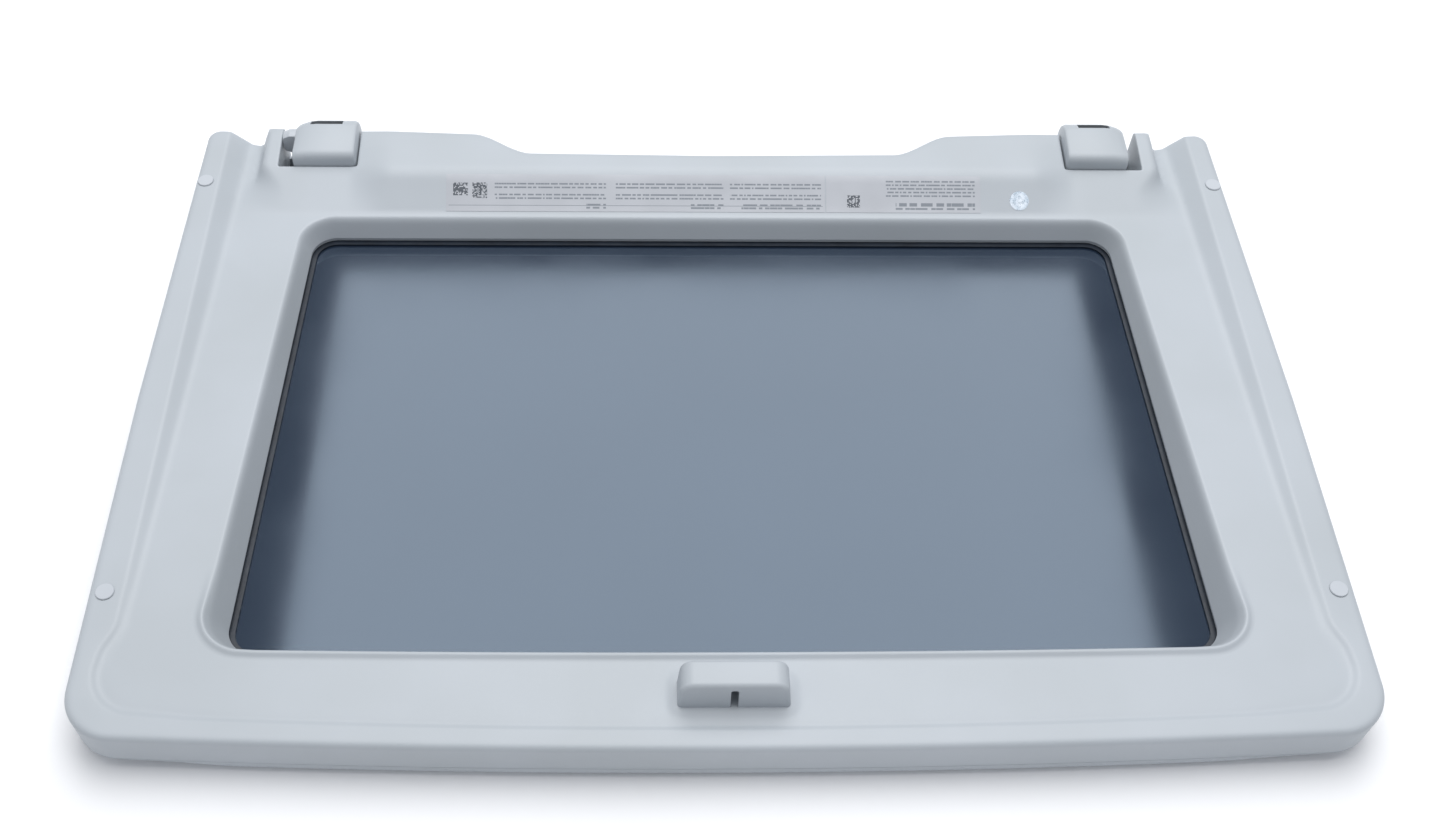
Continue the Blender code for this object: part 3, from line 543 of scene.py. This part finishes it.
wear(cover, white_abs)
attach(cover, "lid")
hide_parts("inner_cover")


# Glass: one pane of dark blue-grey toughened float glass, fully glossy. Faint wipe marks make
# its gloss uneven.
glass_finish, shader = new_surface(
    "tinted_toughened_glass", IOR=1.5, Specular_IOR_Level=0.9,
    Specular_Tint=(0.68, 0.83, 1, 1), Alpha=0.92)
wipes = noise(glass_finish, 0.12, 4)
link(glass_finish, tint_by(glass_finish, wipes, "1F2A3A", "253040"), shader, "Base Color")
link(glass_finish, value_between(glass_finish, wipes, 0.05, 0.1), shader, "Roughness")
wear(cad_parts["lid_glass"], glass_finish)


# Seals: a black rubber gasket shows as a narrow border round the glass; a bead of grey
# adhesive behind it holds the pane.
rubber, shader = new_surface("black_epdm_rubber", IOR=1.5)
link(rubber, tint_by(rubber, noise(rubber, 0.01), "151D28", "1D2632"), shader, "Base Color")
link(rubber, value_between(rubber, noise(rubber, 0.003), 0.35, 0.5), shader, "Roughness")
link(rubber, bump(rubber, noise(rubber, 0.0012), 0.00004), shader, "Normal")
wear(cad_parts["glass_gasket"], rubber)
adhesive, shader = new_surface("grey_polyurethane_adhesive", IOR=1.45)
link(adhesive, tint_by(adhesive, noise(adhesive, 0.008), "2B2B2C", "3A3A3B"), shader, "Base Color")
link(adhesive, bump(adhesive, noise(adhesive, 0.002), 0.0002), shader, "Normal")
wear(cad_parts["glass_adhesive"], adhesive)


# Lock strike: an upright white block, screwed on from behind, with a slot for the lid lock's
# bolt. It narrows to the top, its front leans back, and its two upper corners are well rounded.
def start_block(name, low, high):
    """A cube primitive between two corners in millimetres, left in edit mode."""
    bpy.ops.object.select_all(action="DESELECT")
    bpy.ops.mesh.primitive_cube_add(
        size=1, location=[(a + b) / 2 * MM for a, b in zip(low, high)],
        scale=[(b - a) * MM for a, b in zip(low, high)])
    piece = bpy.context.object
    piece.name = name
    bpy.ops.object.transform_apply(location=True, rotation=True, scale=True)
    bpy.ops.object.mode_set(mode="EDIT")
    bpy.ops.mesh.select_mode(type="EDGE")
    return piece


def select_edges(piece, wanted):
    """Select the edges whose two ends, in millimetres, pass a test."""
    data = bmesh.from_edit_mesh(piece.data)
    bpy.ops.mesh.select_all(action="DESELECT")
    for item in data.edges:
        if wanted(*(vert.co / MM for vert in item.verts)):
            item.select_set(True)
    data.select_flush_mode()
    bmesh.update_edit_mesh(piece.data)


near_top = STRIKE_TOP - 1
strike = start_block("strike_block", (STRIKE_LOW_X, STRIKE_FRONT_Y, STRIKE_BOTTOM),
                     (STRIKE_HIGH_X, STRIKE_BACK_Y, STRIKE_TOP))
select_edges(strike, lambda a, b: min(a.z, b.z) > near_top)
bpy.ops.transform.resize(value=(0.93, 1, 1))
select_edges(strike, lambda a, b: min(a.z, b.z) > near_top and max(a.y, b.y) < STRIKE_FRONT_Y + 1)
bpy.ops.transform.translate(value=(0, 1.9 * MM, 0))
select_edges(strike, lambda a, b: min(a.z, b.z) > near_top and abs(a.y - b.y) > 10)
bpy.ops.mesh.bevel(offset=6.5 * MM, segments=8, affect="EDGES")
bpy.ops.mesh.select_all(action="DESELECT")
bpy.ops.mesh.edges_select_sharp(sharpness=math.radians(50))
bpy.ops.mesh.bevel(offset=2 * MM, segments=5, affect="EDGES")
bpy.ops.object.mode_set(mode="OBJECT")
SLOT_BOTTOM, SLOT_TOP, SLOT_END_Y = 30, 44.5, -178
slot_cutter = start_block("slot_cutter", (-0.9, -200, SLOT_BOTTOM), (2.9, SLOT_END_Y, SLOT_TOP))
select_edges(slot_cutter, lambda a, b: abs(a.y - b.y) > 10 and a.z > SLOT_TOP - 0.5)
bpy.ops.mesh.bevel(offset=1.2 * MM, segments=4, affect="EDGES")
bpy.ops.object.mode_set(mode="OBJECT")
apply_modifier(strike, "BOOLEAN", operation="DIFFERENCE", solver="EXACT", object=slot_cutter)
bpy.data.objects.remove(slot_cutter, do_unlink=True)
smooth_by_angle(strike, 40)
wear(strike, white_abs)
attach(strike, "lid")
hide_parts("lock_strike")


# Hinge caps: white snap-on hoods. They keep the frame's shape, with the sharp edges softened.
def softened_copy(name, node, width, angle=30):
    """A copy of a frame node with its doubles merged and its edges rounded."""
    piece = bpy.data.objects.new(name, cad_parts[node].data.copy())
    bpy.context.scene.collection.objects.link(piece)
    bpy.ops.object.select_all(action="DESELECT")
    piece.select_set(True)
    bpy.context.view_layer.objects.active = piece
    bpy.ops.object.mode_set(mode="EDIT")
    bpy.ops.mesh.select_all(action="SELECT")
    bpy.ops.mesh.remove_doubles(threshold=0.01 * MM)
    bpy.ops.mesh.dissolve_limited(angle_limit=math.radians(1))
    bpy.ops.object.mode_set(mode="OBJECT")
    apply_modifier(piece, "BEVEL", width=width * MM, segments=3, limit_method="ANGLE",
                   angle_limit=math.radians(angle))
    smooth_by_angle(piece, 40)
    return piece


for side in ("left", "right"):
    cap = softened_copy("hinge_hood_" + side, "hinge_cap_" + side, 0.5)
    wear(cap, white_abs)
    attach(cap, "lid")
    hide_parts("hinge_cap_" + side)


# Buffers: four small soft white discs pressed into the rails, which the lid closes on.
soft_white = moulded_plastic("white_soft_pvc", "BCC1C7", "C3C8CE", 0.4, 0.0012, 0.00003)
for place in ("front_left", "front_right", "back_left", "back_right"):
    wear(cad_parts["bumper_" + place], soft_white)


# Hinge fittings under the caps: a black damper body and bearing housing, their white acetal
# turning parts, folded zinc-plated brackets, screws and the strike's plated magnet.
black_nylon = moulded_plastic("black_glass_filled_nylon", "0F1013", "191A1E", 0.5, 0.0009)
acetal = moulded_plastic("white_turned_acetal", "B9BEC4", "C1C6CB", 0.36, 0.0011, 0.00002)
zinc, shader = new_surface("zinc_plated_steel", Metallic=1.0)
spangle = add_node(zinc, "ShaderNodeTexVoronoi", {"Vector": object_place(zinc), "Scale": 1 / 0.004},
                   outlet="Distance")
link(zinc, tint_by(zinc, spangle, "A9ACAE", "C2C5C7", 0.1, 0.8), shader, "Base Color")
link(zinc, value_between(zinc, noise(zinc, 0.0015), 0.28, 0.42), shader, "Roughness")
link(zinc, bump(zinc, noise(zinc, 0.001), 0.00003), shader, "Normal")
nickel, shader = new_surface("nickel_plated_magnet", Metallic=1.0)
link(nickel, tint_by(nickel, noise(nickel, 0.004), "B4B2AC", "C4C2BC"), shader, "Base Color")
link(nickel, value_between(nickel, noise(nickel, 0.001), 0.16, 0.26), shader, "Roughness")
for finish, nodes in (
        (black_nylon, ("damper_body_left", "damper_plug_left", "bearing_housing_right")),
        (acetal, ("hinge_shaft_left", "hinge_bush_right")),
        (zinc, ("hinge_bracket_left", "hinge_bracket_right",
                "strike_screw_left", "strike_screw_right",
                "bracket_screw_left_1", "bracket_screw_left_2",
                "bracket_screw_right_1", "bracket_screw_right_2")),
        (nickel, ("strike_magnet",))):
    for node in nodes:
        wear(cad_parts[node], finish)


# Labels: two printed polyester strips and one round silvery sticker on the slope behind the
# window. The print is generic: rows of grey dashes, a ruled line and squares of random dots.
LABEL_LOW_Y, LABEL_HIGH_Y, LABEL_LIFT = 147.9, 167.6, 0.06
STICKER_X, STICKER_Y, STICKER_RADIUS, STICKER_SQUASH = 188.5, 154.5, 5.9, 0.86


def lay_on_slope(name, piece):
    """Lay a flat piece on the cover, a little above it, and give it its thickness."""
    spots = np.array([tuple(vert.co.xy) for vert in piece.data.vertices]) / MM
    for vert, height in zip(piece.data.vertices, cover_height(spots) + LABEL_LIFT):
        vert.co.z = height * MM
    piece.name = name
    apply_modifier(piece, "SOLIDIFY", thickness=0.15 * MM, offset=1.0)
    piece.data.shade_smooth()
    smooth_by_angle(piece, 40)


def in_box(surface, across, along, box):
    """1 inside a rectangle (x low, x high, y low, y high) in millimetres, else 0."""
    part_x = add_node(surface, "ShaderNodeMath", {0: across, 1: (box[0] + box[1]) / 2 * MM,
                      2: (box[1] - box[0]) / 2 * MM}, operation="COMPARE")
    part_y = add_node(surface, "ShaderNodeMath", {0: along, 1: (box[2] + box[3]) / 2 * MM,
                      2: (box[3] - box[2]) / 2 * MM}, operation="COMPARE")
    return add_node(surface, "ShaderNodeMath", {0: part_x, 1: part_y}, operation="MULTIPLY")


def in_any(surface, across, along, boxes):
    """1 inside any of several rectangles, else 0."""
    total = in_box(surface, across, along, boxes[0])
    for box in boxes[1:]:
        part = in_box(surface, across, along, box)
        total = add_node(surface, "ShaderNodeMath", {0: total, 1: part}, operation="MAXIMUM")
    return total


def printed(surface, across, along, pitch, word, boxes, share=0.45):
    """Rows of dashes inside boxes; pitch is the row spacing and word the dash length, in mm.
    Share is how much of a row's height the dashes take.
    """
    row = add_node(surface, "ShaderNodeMath", {0: along, 1: pitch * MM}, operation="DIVIDE")
    line = add_node(surface, "ShaderNodeMath", {0: row}, operation="FLOOR")
    part = add_node(surface, "ShaderNodeMath", {0: row}, operation="FRACT")
    inked = add_node(surface, "ShaderNodeMath", {0: part, 1: 0.5, 2: share / 2},
                     operation="COMPARE")
    step = add_node(surface, "ShaderNodeMath", {0: across, 1: word * MM}, operation="DIVIDE")
    spot = add_node(surface, "ShaderNodeCombineXYZ", {0: step, 1: line})
    lumps = add_node(surface, "ShaderNodeTexNoise", {
        "Vector": spot, "Scale": 1.0, "Detail": 0.0})
    dash = add_node(surface, "ShaderNodeMath", {0: lumps, 1: 0.43}, operation="GREATER_THAN")
    ink = add_node(surface, "ShaderNodeMath", {0: inked, 1: dash}, operation="MULTIPLY")
    inside = in_any(surface, across, along, boxes)
    return add_node(surface, "ShaderNodeMath", {0: ink, 1: inside}, operation="MULTIPLY")


def dots(surface, across, along, size, boxes):
    """Squares filled with random dots."""
    place = add_node(surface, "ShaderNodeCombineXYZ", {0: across, 1: along})
    cell = add_node(surface, "ShaderNodeVectorMath", {0: place, 1: (size * MM, size * MM, 1)},
                    operation="SNAP")
    chance = add_node(surface, "ShaderNodeTexWhiteNoise", {"Vector": cell})
    dot = add_node(surface, "ShaderNodeMath", {0: chance, 1: 0.36}, operation="GREATER_THAN")
    inside = in_any(surface, across, along, boxes)
    return add_node(surface, "ShaderNodeMath", {0: dot, 1: inside}, operation="MULTIPLY")


film, shader = new_surface("printed_white_polyester", IOR=1.55)
place = add_node(film, "ShaderNodeSeparateXYZ", {0: object_place(film)}, outlet="X")
across, along = place, place.node.outputs["Y"]
small = printed(film, across, along, 1.9, 1.6, (
    (-134, -66, 153.6, 157.4), (-134, -66, 159.2, 163), (-60, 6, 153.6, 157.4),
    (-60, 6, 159.2, 163), (10, 66, 153.6, 157.4), (10, 66, 159.2, 163), (106, 161, 156, 165)))
bold = printed(film, across, along, 2.6, 3.2, (
    (-78, -66, 149.4, 152), (-14, 6, 149.4, 152), (17, 66, 149.4, 152),
    (112, 161, 149.4, 153)), 0.7)
codes = dots(film, across, along, 0.62, (
    (-159.3, -150.3, 156.2, 162.9), (-147.6, -138.6, 154.8, 163), (82, 90, 150.5, 157)))
rules = in_box(film, across, along, (-162, 67, 150.9, 151.2))
ink = add_node(film, "ShaderNodeMath", {0: small, 1: bold}, operation="MAXIMUM")
ink = add_node(film, "ShaderNodeMath", {0: ink, 1: rules}, operation="MAXIMUM")
paper = tint_by(film, noise(film, 0.03), "B4B7BD", "BABDC3")
paper = mix(film, ink, paper, colour("7F858D"))
link(film, mix(film, codes, paper, colour("4E545C")), shader, "Base Color")
link(film, value_between(film, noise(film, 0.006), 0.28, 0.4), shader, "Roughness")
for name, node, low_x, high_x in (
        ("care_strip", "care_label", -163.5, 68.5), ("rating_strip", "rating_label", 69.1, 164.5)):
    bpy.ops.object.select_all(action="DESELECT")
    bpy.ops.mesh.primitive_grid_add(
        x_subdivisions=60, y_subdivisions=10, size=1,
        location=((low_x + high_x) / 2 * MM, (LABEL_LOW_Y + LABEL_HIGH_Y) / 2 * MM, 0))
    label = bpy.context.object
    label.scale = ((high_x - low_x) * MM, (LABEL_HIGH_Y - LABEL_LOW_Y) * MM, 1)
    bpy.ops.object.transform_apply(location=True, rotation=True, scale=True)
    lay_on_slope(name, label)
    wear(label, film)
    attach(label, "lid")
    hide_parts(node)

foil, shader = new_surface("silver_foil_sticker", Metallic=0.75)
link(foil, tint_by(foil, noise(foil, 0.004), "B9C6D2", "D3DBE4"), shader, "Base Color")
link(foil, value_between(foil, noise(foil, 0.002), 0.22, 0.36), shader, "Roughness")
bpy.ops.object.select_all(action="DESELECT")
bpy.ops.mesh.primitive_circle_add(
    vertices=48, radius=STICKER_RADIUS * MM, fill_type="TRIFAN",
    location=(STICKER_X * MM, STICKER_Y * MM, 0))
dot = bpy.context.object
bpy.ops.object.transform_apply(location=True, rotation=True, scale=True)
for vert in dot.data.vertices:
    vert.co.y = STICKER_Y * MM + (vert.co.y - STICKER_Y * MM) * STICKER_SQUASH
lay_on_slope("round_sticker", dot)
wear(dot, foil)
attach(dot, "lid")
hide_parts("inspection_sticker")
